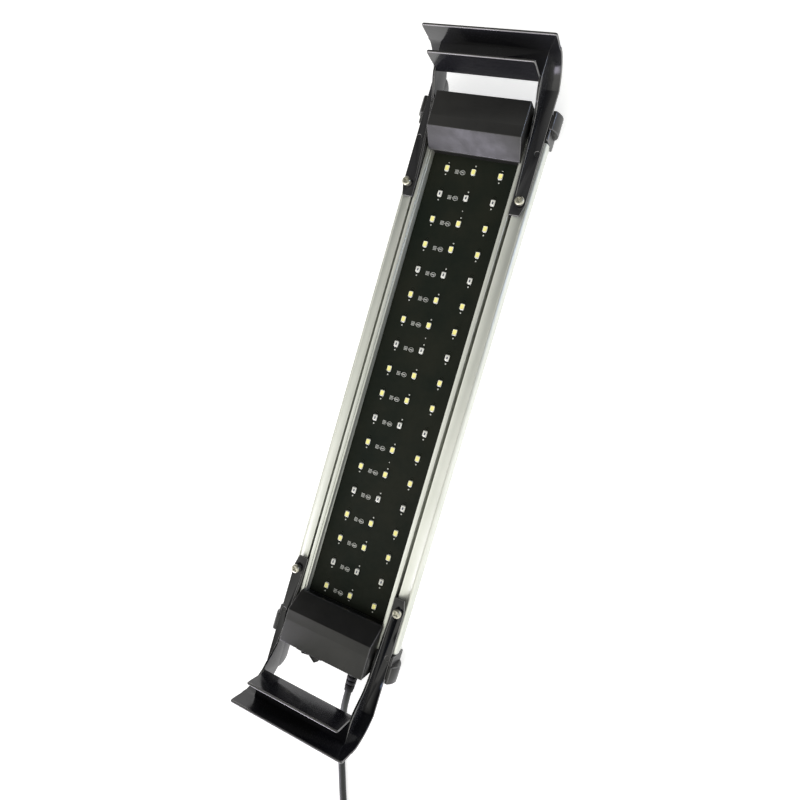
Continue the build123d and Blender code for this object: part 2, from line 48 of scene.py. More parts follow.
COVER_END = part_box("end_cover_top")[1].y            # outer face of the end covers
PARTING_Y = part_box("gasket_top")[1].y + 1.0 * MM    # joint between hood and end cover
FLANGE_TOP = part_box("bracket_top")[1].z
WELD = 0.004 * MM                                   # CAD corners closer than this are one
FLAT = 0.3                                          # faces that meet within this many degrees become one
LAMP = "lamp"
UP = Vector((0, 0, 1))


# ---- camera ----
def add_camera():
    data = bpy.data.cameras.new("camera")
    data.sensor_width = 36.0
    data.lens = 28.706
    data.clip_start, data.clip_end = 0.01, 50.0
    camera = bpy.data.objects.new("camera", data)
    camera.location = (0.1432, 0.01368, 0.39535)
    camera.rotation_euler = [math.radians(a) for a in (2.984, 20.989, 17.38)]
    bpy.context.scene.collection.objects.link(camera)
    bpy.context.scene.camera = camera


# ---- mesh helpers ----
def link(name, data, *materials):
    obj = bpy.data.objects.new(name, data)
    for material in materials:
        data.materials.append(material)
    bpy.context.scene.collection.objects.link(obj)
    return obj


def mesh_object(name, bm, *materials):
    bmesh.ops.recalc_face_normals(bm, faces=bm.faces)
    data = bpy.data.meshes.new(name)
    bm.to_mesh(data)
    bm.free()
    return link(name, data, *materials)


def place(obj, body, slot, *nodes):
    """The piece rides on its body and stands for the CAD nodes; the slot argument is not used."""
    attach(obj, body)
    if nodes:
        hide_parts(*nodes)
    return obj


def smooth(obj, angle=30.0):
    """Smooth shading that breaks at edges sharper than the angle."""
    bm = bmesh.new()
    bm.from_mesh(obj.data)
    for face in bm.faces:
        face.smooth = True
    for edge in bm.edges:
        edge.smooth = edge.calc_face_angle(math.pi) < math.radians(angle)
    bm.to_mesh(obj.data)
    bm.free()


def bevel(obj, radius, segments=2, angle=30.0, edge_material=0, clamp=False, share=None):
    """Rounds outer edges sharper than the angle.

    share(a, b) gives the part of the radius used for the edge from a to b, 1 if left out.
    """
    bm = bmesh.new()
    bm.from_mesh(obj.data)
    weight = bm.edges.layers.float.new("bevel_weight_edge")
    for face in bm.faces:
        face.smooth = True
    for edge in bm.edges:
        if edge.calc_face_angle(math.pi) < math.radians(angle):
            continue
        ends = (edge.verts[0].co, edge.verts[1].co)
        part = share(*ends) if share else 1.0
        if edge.is_convex and part > 0:
            edge[weight] = part
        else:
            edge.smooth = False
    bm.to_mesh(obj.data)
    bm.free()
    modifier = obj.modifiers.new("rounded_edges", "BEVEL")
    modifier.width = radius
    modifier.segments = segments
    modifier.limit_method = "WEIGHT"
    modifier.use_clamp_overlap = clamp
    modifier.harden_normals = True
    # The rounded strips take the edge material; on the housing, covers and brackets that is a lighter painted
    # highlight.
    modifier.material = edge_material
    return obj


def softened(node, body, slot, materials, radius, segments=2, share=None):
    """A copy of a CAD node with rounded edges; a second, lighter material goes on the rounded strips as a
    painted highlight.
    """
    bm = bmesh.new()
    bm.from_mesh(NODES[node].data)
    bmesh.ops.remove_doubles(bm, verts=bm.verts, dist=WELD)
    bmesh.ops.dissolve_limit(bm, angle_limit=math.radians(FLAT), verts=bm.verts, edges=bm.edges)
    for face in bm.faces:
        face.material_index = 0
    piece = mesh_object(node + "_finish", bm, *materials)
    bevel(piece, radius, segments, edge_material=len(materials) - 1, share=share)
    return place(piece, body, slot, node)


def solids_of(node):
    """Lowest and highest corner of each separate solid in a CAD node, in metres."""
    bm = bmesh.new()
    bm.from_mesh(NODES[node].data)
    bmesh.ops.remove_doubles(bm, verts=bm.verts, dist=WELD)
    left = set(bm.verts)
    boxes = []
    while left:
        stack = [left.pop()]
        points = []
        while stack:
            vert = stack.pop()
            points.append(vert.co.copy())
            for edge in vert.link_edges:
                other = edge.other_vert(vert)
                if other in left:
                    left.discard(other)
                    stack.append(other)
        low = Vector([min(p[i] for p in points) for i in range(3)])
        high = Vector([max(p[i] for p in points) for i in range(3)])
        boxes.append((low, high))
    bm.free()
    return sorted(boxes, key=lambda box: (-round(box[0].y, 5), box[0].x))


def rounded_loop(half_x, half_y, radius, steps=4):
    """Points of a rectangle with round corners."""
    points = []
    for corner, (sx, sy) in enumerate(((1, 1), (-1, 1), (-1, -1), (1, -1))):
        for step in range(steps + 1):
            turn = math.radians(90 * corner + 90 * step / steps)
            points.append((sx * (half_x - radius) + radius * math.cos(turn),
                           sy * (half_y - radius) + radius * math.sin(turn)))
    return points


def loft(bm, rings, centre=(0, 0, 0), turn=None, close=(True, True), material=0):
    """Joins rings of equal point counts; each ring is (2-D points, height[, material number])."""
    turn = turn or Matrix.Identity(3)
    loops, paints = [], []
    for ring in rings:
        points, height = ring[0], ring[1]
        paints.append(ring[2] if len(ring) > 2 else material)
        loops.append([bm.verts.new(Vector(centre) + turn @ Vector((x, y, height))) for x, y in points])
    for k, (below, above) in enumerate(zip(loops, loops[1:])):
        for i in range(len(below)):
            j = (i + 1) % len(below)
            face = bm.faces.new((below[i], below[j], above[j], above[i]))
            face.material_index = paints[k + 1]
    if close[0]:
        bm.faces.new(list(reversed(loops[0]))).material_index = paints[0]
    if close[1]:
        bm.faces.new(loops[-1]).material_index = paints[-1]
    return loops


def circle(radius, count=32, flat=1.0):
    return [(radius * math.cos(2 * math.pi * k / count), radius * flat * math.sin(2 * math.pi * k / count))
            for k in range(count)]


def slab(bm, x, y, z, half_x, half_y, height, edge=0.05 * MM, radius=0.1 * MM, material=0):
    """A small block with round corners and a chamfered top."""
    loft(bm, [(rounded_loop(half_x, half_y, radius, 2), z),
              (rounded_loop(half_x, half_y, radius, 2), z + height - edge),
              (rounded_loop(half_x - edge, half_y - edge, radius, 2), z + height)],
         (x, y, 0), material=material)


# ---- material helpers ----
def add(tree, kind, values=None, **settings):
    """Adds a node; a value that is a socket is linked, anything else is set."""
    node = tree.nodes.new(kind)
    for key, value in settings.items():
        setattr(node, key, value)
    for key, value in (values or {}).items():
        if isinstance(value, bpy.types.NodeSocket):
            tree.links.new(value, node.inputs[key])
        else:
            node.inputs[key].default_value = value
    return node


def new_material(name, **sockets):
    material = bpy.data.materials.new(name)
    material.use_nodes = True
    tree = material.node_tree
    shader = tree.nodes["Principled BSDF"]
    for key, value in sockets.items():
        shader.inputs[key.replace("_", " ")].default_value = value
    return material, tree, shader


def grain(tree, scale, detail=3.0, stretch=(1, 1, 1), roughness=0.55):
    """Noise in the object's own metres, stretched along an axis; scale is in cycles per metre."""
    place_at = add(tree, "ShaderNodeTexCoord").outputs["Object"]
    mapped = add(tree, "ShaderNodeMapping", {"Vector": place_at, "Scale": stretch})
    return add(tree, "ShaderNodeTexNoise", {
        "Vector": mapped.outputs[0], "Scale": scale, "Detail": detail, "Roughness": roughness,
    }).outputs[0]


def spread(tree, value, low, high, start=0.3, stop=0.7):
    """A number that goes from low to high with a texture value."""
    return add(tree, "ShaderNodeMapRange", {
        "Value": value, "From Min": start, "From Max": stop, "To Min": low, "To Max": high,
    }).outputs[0]


def tint(tree, value, first, second, start=0.35, stop=0.65):
    ramp = add(tree, "ShaderNodeValToRGB", {"Fac": value})
    ramp.color_ramp.elements[0].position = start
    ramp.color_ramp.elements[1].position = stop
    ramp.color_ramp.elements[0].color = (*first, 1)
    ramp.color_ramp.elements[1].color = (*second, 1)
    return ramp.outputs[0]


def bump(tree, shader, height, strength, distance=0.05 * MM, under=None):
    values = {"Height": height, "Strength": strength, "Distance": distance}
    if under is not None:
        values["Normal"] = under
    node = add(tree, "ShaderNodeBump", values)
    tree.links.new(node.outputs[0], shader.inputs["Normal"])
    return node.outputs[0]


def connect(tree, shader, **sources):
    for key, source in sources.items():
        tree.links.new(source, shader.inputs[key.replace("_", " ")])


# ---- materials ----
def moulded(name, dark, light, rough, texture=0.25, scale=5200, **sockets):
    """Moulded plastic: fine spark texture and faint flow marks."""
    material, tree, shader = new_material(name, **sockets)
    spark = grain(tree, scale, 2.0)
    flow = grain(tree, 38, 4.0, (1, 0.4, 1))
    connect(tree, shader, Base_Color=tint(tree, flow, dark, light),
            Roughness=spread(tree, grain(tree, 160, 5.0), *rough))
    first = bump(tree, shader, spark, texture)
    bump(tree, shader, flow, 0.03, 0.3 * MM, first)
    return material


def extruded_metal(name, dark, light, rough, along=(1, 0.012, 1)):
    """Aluminium with die lines along Y and a few handling marks."""
    material, tree, shader = new_material(name, Metallic=0.7)
    lines = grain(tree, 2600, 4.0, along, 0.7)
    cloud = grain(tree, 30, 3.0)
    colour = tint(tree, cloud, dark, light)
    broad = spread(tree, lines, rough[0], rough[1])
    connect(tree, shader, Base_Color=colour, Roughness=broad)
    first = bump(tree, shader, lines, 0.22, 0.03 * MM)
    bump(tree, shader, grain(tree, 900, 2.0), 0.05, 0.04 * MM, first)
    return material


def plated(name, dark, light, rough):
    """Turned and plated metal."""
    material, tree, shader = new_material(name, Metallic=1.0)
    cloud = grain(tree, 700, 4.0)
    connect(tree, shader, Base_Color=tint(tree, cloud, dark, light),
            Roughness=spread(tree, cloud, *rough))
    bump(tree, shader, grain(tree, 5000, 2.0), 0.12, 0.02 * MM)
    return material


def matt(name, dark, light, rough, scale=900, texture=0.2, **sockets):
    """Painted, printed, rubber and ceramic surfaces."""
    material, tree, shader = new_material(name, **sockets)
    cloud = grain(tree, scale, 4.0)
    connect(tree, shader, Base_Color=tint(tree, cloud, dark, light),
            Roughness=spread(tree, cloud, *rough))
    bump(tree, shader, grain(tree, scale * 5, 3.0), texture, 0.03 * MM)
    return material


def solder_mask():
    """Black-green mask over a glass weave."""
    material, tree, shader = new_material("solder_mask", Specular_IOR_Level=0.14)
    where = add(tree, "ShaderNodeTexCoord").outputs["Object"]
    weave = add(tree, "ShaderNodeTexWave", {
        "Vector": where, "Scale": 420.0, "Distortion": 0.6, "Detail": 2.0}, bands_direction="DIAGONAL")
    cloud = grain(tree, 45, 5.0)
    connect(tree, shader, Base_Color=tint(tree, cloud, (0.0075, 0.0115, 0.0075), (0.0145, 0.0165, 0.0105)),
            Roughness=spread(tree, grain(tree, 300, 4.0), 0.55, 0.7))
    bump(tree, shader, weave.outputs[0], 0.05, 0.01 * MM)
    return material


def phosphor(name, dark, light, glow=(0, 0, 0, 1), strength=0.0):
    """Silicone with phosphor grains, glossy on top; a faint glow may be painted on, an emission that shines
    whatever the lighting, standing in for the phosphor's fluorescence in daylight.
    """
    material, tree, shader = new_material(name, Coat_Weight=0.5, Coat_Roughness=0.12)
    shader.inputs["Subsurface Weight"].default_value = 0.15
    shader.inputs["Subsurface Radius"].default_value = (0.4 * MM, 0.3 * MM, 0.1 * MM)
    shader.inputs["Subsurface Scale"].default_value = 1.0
    shader.inputs["Emission Color"].default_value = glow
    shader.inputs["Emission Strength"].default_value = strength
    speck = grain(tree, 9000, 3.0)
    connect(tree, shader, Base_Color=tint(tree, speck, dark, light),
            Roughness=spread(tree, speck, 0.3, 0.5))
    bump(tree, shader, speck, 0.2, 0.02 * MM)
    return material


PLASTIC = moulded("cover_plastic", (0.0125, 0.0125, 0.0125), (0.018, 0.0175, 0.017), (0.3, 0.42))
# Lighter, half-metallic plastic for the rounded edges of the hoods and end covers: a painted highlight along
# each edge.
PLASTIC_PAINTED_HIGHLIGHT = moulded("cover_plastic_painted_highlight", (0.10, 0.10, 0.105), (0.14, 0.138, 0.14), (0.2, 0.3), 0.1,
                       Metallic=0.6)
BRACKET = moulded("bracket_plastic", (0.010, 0.010, 0.0125), (0.014, 0.014, 0.0165), (0.11, 0.18), 0.04)
# Much lighter, metallic plastic for the rounded edges of the brackets, widest on the flange tips: a painted
# highlight.
BRACKET_PAINTED_HIGHLIGHT = moulded("bracket_plastic_painted_highlight", (0.18, 0.177, 0.177), (0.23, 0.226, 0.226), (0.25, 0.35), 0.05,
                       Metallic=0.9)
ALUMINIUM = extruded_metal("extruded_aluminium", (0.71, 0.73, 0.67), (0.78, 0.795, 0.74), (0.34, 0.5))
# Paler aluminium for the rounded edges of the extrusion: a painted highlight along its strips and ribs.
ALUMINIUM_PAINTED_HIGHLIGHT = extruded_metal("aluminium_painted_highlight", (0.9, 0.92, 0.84), (0.95, 0.96, 0.9), (0.25, 0.35))
NICKEL = plated("nickel", (0.46, 0.45, 0.37), (0.62, 0.6, 0.52), (0.24, 0.38))
DARK_STEEL = plated("insert_steel", (0.2, 0.195, 0.18), (0.3, 0.29, 0.27), (0.3, 0.45))
BRASS = plated("turned_brass", (0.52, 0.38, 0.16), (0.66, 0.5, 0.24), (0.22, 0.38))
TIN = plated("solder", (0.55, 0.55, 0.54), (0.72, 0.72, 0.7), (0.2, 0.4))
MASK = solder_mask()
INK = matt("silkscreen", (0.5, 0.51, 0.48), (0.78, 0.79, 0.75), (0.6, 0.8), 2600, 0.3)
LED_CASE = matt("led_case", (0.88, 0.88, 0.82), (0.95, 0.95, 0.9), (0.35, 0.5), 2500, 0.1)
# The yellow phosphor gets a faint painted glow, an emission that does not depend on the lights.
YELLOW = phosphor("yellow_phosphor", (0.93, 0.84, 0.2), (0.96, 0.92, 0.42), (1.0, 0.9, 0.3, 1), 0.2)
WELL = phosphor("clear_well", (0.08, 0.08, 0.09), (0.2, 0.2, 0.22))
DIE = plated("led_die", (0.12, 0.16, 0.3), (0.22, 0.28, 0.45), (0.15, 0.3))
CERAMIC = matt("chip_ceramic", (0.02, 0.02, 0.02), (0.045, 0.045, 0.045), (0.35, 0.5), 2600, 0.2)
SWITCH = moulded("switch_plastic", (0.014, 0.014, 0.014), (0.022, 0.022, 0.022), (0.28, 0.4), 0.2)
RUBBER = matt("rubber", (0.006, 0.006, 0.008), (0.012, 0.012, 0.013), (0.5, 0.66), 700, 0.35,
              Specular_IOR_Level=0.25)
SHEATH = matt("cord_sheath", (0.011, 0.013, 0.014), (0.021, 0.024, 0.025), (0.4, 0.54), 260, 0.18)
STRAP = matt("strap", (0.016, 0.016, 0.016), (0.04, 0.04, 0.04), (0.7, 0.9), 1800, 0.8)
NYLON = matt("nylon", (0.66, 0.64, 0.58), (0.78, 0.77, 0.72), (0.35, 0.5), 500, 0.15)
TAPE = matt("thermal_tape", (0.62, 0.62, 0.6), (0.76, 0.76, 0.73), (0.6, 0.8), 900, 0.4)
GREEN_BOARD = matt("green_board", (0.01, 0.09, 0.035), (0.02, 0.14, 0.06), (0.3, 0.45), 150, 0.1)
RED_WIRE = matt("red_insulation", (0.32, 0.02, 0.015), (0.42, 0.035, 0.025), (0.35, 0.5), 500, 0.1)
PLUG = moulded("plug_plastic", (0.016, 0.016, 0.017), (0.024, 0.024, 0.025), (0.4, 0.55), 0.4, 3600)


# ---- cord ----
CORD_DIAMETER = 4.6 * MM
CORD_LIE = 2.32 * MM
CORD_EXIT = (17.0 * MM, -202.6 * MM, 7.6 * MM)
ROUTE = [
    CORD_EXIT,
    (0.0170, -0.2115, 0.0076),
    (0.0172, -0.2215, 0.0044),
    (0.0187, -0.2330, CORD_LIE),
    (0.0223, -0.2450, CORD_LIE),
    (0.0271, -0.2580, CORD_LIE),
    (0.0324, -0.2725, CORD_LIE),
    (0.0382, -0.2865, CORD_LIE),
    (0.0432, -0.3005, CORD_LIE),
    (0.0465, -0.3145, CORD_LIE),
    (0.0476, -0.3285, CORD_LIE),
]
COIL_CENTRE = Vector((0.0200, -0.3370, 0))
COIL_RADIUS = 0.0276
COIL_CELLS = [(0, 0), (-1, 0), (-1, 1), (-1, 2), (0, 2), (0, 1), (1, 1)]  # column outward, layer up
COIL_TURNS = 6.25
STEP_ARC, STEP_END = 38.0, 350.0     # degrees taken by one change of cell, and where the first ends
POINTS_PER_TURN = 24
TIE_ANGLE, TIE_LIFT, TIE_REACH = -30.0, 1.05 * MM, 24.0
PLUG_ROUTE = [
    (0.0095, -0.3695, 0.0069),
    (0.0010, -0.3693, 0.00665),
    (-0.0090, -0.3692, 0.00652),
]


def coil_point(turned):
    """Place of the cord after winding this many degrees, clockwise seen from above."""
    turn = int(turned // 360)
    here = turned - 360 * turn
    middle = STEP_END - STEP_ARC * (turn + 0.5)
    share = min(1.0, max(0.0, (here - middle) / STEP_ARC + 0.5))
    share = share * share * (3 - 2 * share)
    first = COIL_CELLS[min(turn, len(COIL_CELLS) - 1)]
    second = COIL_CELLS[min(turn + 1, len(COIL_CELLS) - 1)]
    column = first[0] + share * (second[0] - first[0])
    layer = first[1] + share * (second[1] - first[1])
    angle = -math.radians(here)
    away = (math.degrees(angle) - TIE_ANGLE + 180) % 360 - 180
    lift = TIE_LIFT * math.exp(-((away / TIE_REACH) ** 2))
    radius = COIL_RADIUS + CORD_DIAMETER * column
    return COIL_CENTRE + Vector((radius * math.cos(angle), radius * math.sin(angle),
                                 CORD_LIE + CORD_DIAMETER * layer + lift))


def cord_points():
    count = round(COIL_TURNS * POINTS_PER_TURN)
    turns = [coil_point(360 * COIL_TURNS * k / count) for k in range(count + 1)]
    return [Vector(p) for p in ROUTE] + turns + [Vector(p) for p in PLUG_ROUTE]


def power_cord():
    data = bpy.data.curves.new("power_cord_line", "CURVE")
    data.dimensions = "3D"
    data.bevel_depth = CORD_DIAMETER / 2
    data.bevel_resolution = 5
    data.resolution_u = 4
    data.use_fill_caps = True
    spline = data.splines.new("NURBS")
    points = cord_points()
    spline.points.add(len(points) - 1)
    for point, target in zip(spline.points, points):
        point.co = (*target, 1)
    spline.order_u = 3
    spline.use_endpoint_u = True
    cord = link("mains_cord", data, SHEATH)
    place(cord, LAMP, "cord_sheath", "power_cord", "cord_coil", "plug_lead")
    return cord


def cord_tie():
    """Hook-and-loop strap round the bundle, with its end lapped over."""
    half_wide, thick, lap_inset = 2.5 * MM, 0.8 * MM, 0.2 * MM
    half_r, half_z, corner = 7.7 * MM, 7.4 * MM, 3.4 * MM
    outward = Vector((math.cos(math.radians(TIE_ANGLE)), math.sin(math.radians(TIE_ANGLE)), 0))
    middle = COIL_CENTRE + outward * COIL_RADIUS + UP * (half_z + 0.05 * MM)
    across = UP.cross(outward)
    bm = bmesh.new()
    outer = rounded_loop(half_r, half_z, corner, 6)
    inner = rounded_loop(half_r - thick, half_z - thick, corner - thick, 6)
    rings = []
    for points, side in ((outer, -1), (outer, 1), (inner, 1), (inner, -1)):
        rings.append([bm.verts.new(middle + outward * r + UP * z + across * (side * half_wide))
                      for r, z in points])
    for below, above in zip(rings, rings[1:] + rings[:1]):
        for i in range(len(below)):
            j = (i + 1) % len(below)
            bm.faces.new((below[i], below[j], above[j], above[i]))
    lap = [p for p in rounded_loop(half_r + thick, half_z + thick, corner + thick, 6) if p[1] > 0]
    base = [p for p in outer if p[1] > 0]
    sheet = []
    for points in (lap, base):
        for side in (-1, 1):
            aside = across * (side * (half_wide - lap_inset))
            sheet.append([bm.verts.new(middle + outward * r + UP * z + aside) for r, z in points])
    top_a, top_b, low_a, low_b = sheet
    for first, second in ((top_a, top_b), (top_b, low_b), (low_b, low_a), (low_a, top_a)):
        for i in range(len(first) - 1):
            bm.faces.new((first[i], first[i + 1], second[i + 1], second[i]))
    for end in (0, -1):
        bm.faces.new((top_a[end], top_b[end], low_b[end], low_a[end]))
    tie = mesh_object("bundle_strap", bm, STRAP)
    smooth(tie, 40)
    bevel(tie, 0.2 * MM, 2, 60)
    return place(tie, LAMP, "tie", "cord_tie")


PLUG_SLEEVE = 12.0 * MM
SLEEVE_RINGS = ((0.0, 2.6), (0.4, 3.0), (PLUG_SLEEVE / MM - 1.4, 4.3))        # place and radius in mm
# Shares of the grip's length, width and height.
GRIP_RINGS = ((0.0, 0.52, 0.7), (0.05, 0.66, 0.84), (0.14, 0.78, 0.9), (0.3, 0.84, 0.92), (0.5, 0.86, 0.92),
              (0.68, 0.93, 0.97), (0.8, 0.985, 1.0), (0.97, 1.0, 1.0), (1.0, 0.96, 0.94))


def plug_shell():
    """Moulded two-blade plug: waisted grip with finger ribs and a ribbed sleeve to the cord."""
    low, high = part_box("plug_body")
    half_y, half_z = (high.y - low.y) / 2, (high.z - low.z) / 2
    start = Vector((high.x, (low.y + high.y) / 2, (low.z + high.z) / 2))
    turn = Matrix(((0, 0, -1), (1, 0, 0), (0, 1, 0)))     # rings lie across X, heights run towards -X
    grip = high.x - low.x - PLUG_SLEEVE
    rings = []
    for along, size in SLEEVE_RINGS:
        rings.append((rounded_loop(size * MM, size * MM, 0.95 * size * MM, 5), along * MM))
    for share, wide, tall in GRIP_RINGS:
        hy, hz = half_y * wide, half_z * tall
        rings.append((rounded_loop(hy, hz, 0.42 * hz + 1.0 * MM, 5), PLUG_SLEEVE + grip * share))
    bm = bmesh.new()
    loft(bm, rings, start, turn)
    sleeve_rings(bm, start, turn)
    finger_ribs(bm, start, grip, half_y, half_z)
    plug = mesh_object("plug_moulding", bm, PLUG)
    smooth(plug, 38)
    return place(plug, LAMP, "plug_plastic", "plug_body")


def sleeve_rings(bm, start, turn, count=4, first=2.0 * MM, pitch=2.1 * MM):
    """Rings round the plug's sleeve that let it bend."""
    for k in range(count):
        at = first + pitch * k
        size = (3.5 + 0.3 * k) * MM
        foot = rounded_loop(size - 0.5 * MM, size - 0.5 * MM, 0.9 * size - 0.5 * MM, 5)
        crest = rounded_loop(size, size, 0.95 * size, 5)
        rings = [(foot, at - 0.55 * MM), (crest, at - 0.3 * MM),
                 (crest, at + 0.3 * MM), (foot, at + 0.55 * MM)]
        loft(bm, rings, start, turn)


def finger_ribs(bm, start, grip, half_y, half_z, count=5, first=0.22, pitch=0.085):
    """Raised bars across both flat sides of the grip; first and pitch are shares of its length."""
    bar = rounded_loop(0.55 * MM, half_y * 0.6, 0.5 * MM, 3)
    crest = rounded_loop(0.3 * MM, half_y * 0.58, 0.28 * MM, 3)
    for k in range(count):
        at = PLUG_SLEEVE + grip * (first + pitch * k)
        for side in (-1, 1):
            foot = start + Vector((-at, 0, side * half_z * 0.915))
            rings = [(bar, -0.5 * MM), (bar, 0.15 * MM), (crest, 0.3 * MM)]
            loft(bm, rings, foot, Matrix.Diagonal((1, 1, side)))


def plug_blades():
    """Two plated blades with round-nosed tips and the usual hole."""
    bm = bmesh.new()
    turn = Matrix(((1, 0, 0), (0, 0, -1), (0, 1, 0)))     # outline in X and Z, thickness along Y
    for low, high in solids_of("plug_blades"):
        centre = (low + high) / 2
        half_x, half_z, half_y = (high.x - low.x) / 2, (high.z - low.z) / 2, (high.y - low.y) / 2
        hole_x, hole_r = -half_x + 4.2 * MM, 1.5 * MM
        outline = rounded_loop(half_x, half_z, 1.3 * MM, 6)
        turns = [math.atan2(z, x - hole_x) for x, z in outline]
        round_hole = [(hole_x + hole_r * math.cos(a), hole_r * math.sin(a)) for a in turns]
        shrink = [(x * 0.985, z * 0.94) for x, z in outline]
        rings = [(round_hole, -half_y), (shrink, -half_y), (outline, -half_y * 0.6), (outline, half_y * 0.6),
                 (shrink, half_y), (round_hole, half_y), (round_hole, -half_y)]
        loft(bm, rings, centre, turn, close=(False, False))
    bmesh.ops.remove_doubles(bm, verts=bm.verts, dist=0.002 * MM)
    blades = mesh_object("plug_pins", bm, BRASS)
    smooth(blades, 35)
    return place(blades, LAMP, "blade_metal", "plug_blades")


# ---- mouldings and extrusion ----
def along_lamp(a, b):
    """Full radius on the extruded edges, less on the sawn ends and in the slots; the rounded strips carry the
    painted highlight.
    """
    if abs(a.y - b.y) < 1 * MM:
        return 0.25
    return 0.35 if min(a.z, b.z) < 8 * MM else 1.0


def seam_is_sharp(a, b):
    """The joint between hood and end cover stays crisp, with no rounded strip and so no painted highlight."""
    at_seam = all(abs(abs(p.y) - PARTING_Y) < 0.05 * MM for p in (a, b))
    return 0.0 if at_seam else 1.0


def round_rims(a, b):
    """The two flange tips are rounded right over, the other edges less, so the painted highlight on the
    rounded strips is widest on the tips.
    """
    at_rim = all(p.z > FLANGE_TOP - 2.0 * MM for p in (a, b))
    return 1.0 if at_rim else 0.42


# ---- LED board ----
# Places beside an LED, across and along the lamp; True is for the middle column.
DOT_AT = {True: (0.45 * MM, 4.0 * MM), False: (-0.1 * MM, -3.95 * MM)}
TICK_AT = {True: (0.0, -3.5 * MM), False: (0.25 * MM, 3.6 * MM)}
LED_END = 1.86 * MM                # middle of the solder at an LED's end
PATCH_ASIDE = 4.0 * MM             # from a chip to the hatched patch beside it
EDGE_RUN_X, EDGE_RUN_HALF = 27.4 * MM, 155 * MM
PRINTED_DOT_ROWS = (2, 7, 12)      # a dot is printed above the middle LED of these rows
INK_THICK = COPPER_THICK = 0.03 * MM


def led_board():
    """Board with round corners and a chamfered edge."""
    low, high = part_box("led_board")
    half_x, half_y = (high.x - low.x) / 2, (high.y - low.y) / 2
    bm = bmesh.new()
    loft(bm, [(rounded_loop(half_x - 0.1 * MM, half_y - 0.1 * MM, 1.0 * MM, 5), low.z),
              (rounded_loop(half_x, half_y, 1.1 * MM, 5), low.z + 0.1 * MM),
              (rounded_loop(half_x, half_y, 1.1 * MM, 5), high.z - 0.08 * MM),
              (rounded_loop(half_x - 0.08 * MM, half_y - 0.08 * MM, 1.0 * MM, 5), high.z)])
    board = mesh_object("circuit_board", bm, MASK)
    smooth(board, 30)
    return place(board, LAMP, "black_board", "led_board")


def copper_runs(rows, top):
    """Masked copper areas standing just proud of the board."""
    bm = bmesh.new()
    for side in (-1, 1):
        slab(bm, side * EDGE_RUN_X, 0, top, 0.5 * MM, EDGE_RUN_HALF, COPPER_THICK, 0.01 * MM, 0.3 * MM)
    for upper, lower in zip(rows, rows[1:]):
        gap = upper[0].y - lower[0].y
        middle = (upper[0].y + lower[0].y) / 2
        for x in (p.x for p in upper):
            slab(bm, x, middle, top, 2.4 * MM, gap / 2 - 3.1 * MM, COPPER_THICK, 0.01 * MM, 0.6 * MM)
    runs = mesh_object("copper_runs", bm, MASK)
    return place(runs, LAMP, "black_board")


def dot(bm, x, y, z, radius, material=0, count=14):
    """A round printed or tinned spot."""
    loft(bm, [(circle(radius, count), z), (circle(radius, count), z + 0.025 * MM),
              (circle(radius * 0.9, count), z + 0.035 * MM)], (x, y, 0), material=material)


def solder_points(rows, top):
    """Pale test points beside the LEDs, and the solder at each LED's two ends."""
    bm = bmesh.new()
    for row in rows:
        for column, place_at in enumerate(row):
            aside, along = DOT_AT[column == 1]
            dot(bm, place_at.x + aside, place_at.y + along, top, 0.5 * MM, material=1)
            for end in (-1, 1):
                y = place_at.y + end * LED_END
                slab(bm, place_at.x, y, top, 1.05 * MM, 0.28 * MM, 0.22 * MM, 0.1 * MM, 0.12 * MM)
    points = mesh_object("solder_points", bm, TIN, INK)
    smooth(points, 40)
    return place(points, LAMP, "screw_steel")


def resistor_outline(bm, x, y, z, half_x, half_y, width):
    """An oval printed line round the chip."""
    outer = circle(half_x, 28, half_y / half_x)
    inner = circle(half_x - width, 28, (half_y - width) / (half_x - width))
    loft(bm, [(outer, z), (outer, z + INK_THICK), (inner, z + INK_THICK), (inner, z)],
         (x, y, 0), close=(False, False))


def silkscreen(rows, chips, top):
    """White printing: a tick beside each LED, a ring round each chip and a hatched patch beside it."""
    bm = bmesh.new()

    def bar(x, y, half_x, half_y):
        slab(bm, x, y, top, half_x, half_y, INK_THICK, 0.01 * MM, min(half_x, half_y) * 0.5)

    for row in rows:
        for column, place_at in enumerate(row):
            aside, along = TICK_AT[column == 1]
            bar(place_at.x + aside, place_at.y + along, 0.52 * MM, 0.2 * MM)
    for low, high in chips:
        centre = (low + high) / 2
        resistor_outline(bm, centre.x, centre.y, top, 1.75 * MM, 1.5 * MM, 0.26 * MM)
        patch = centre.x - PATCH_ASIDE
        for k in (-1, 0, 1):
            bar(patch + k * 0.85 * MM, centre.y, 0.14 * MM, 1.35 * MM)
            bar(patch, centre.y + k * 0.95 * MM, 1.2 * MM, 0.13 * MM)
        bar(centre.x - 2.15 * MM, centre.y, 0.3 * MM, 0.14 * MM)
    for k in PRINTED_DOT_ROWS:
        between = (rows[k - 1][1].y + rows[k][1].y) / 2
        dot(bm, rows[k][1].x + 0.2 * MM, between, top, 0.36 * MM)
    printing = mesh_object("board_printing", bm, INK)
    return place(printing, LAMP, "led_white")


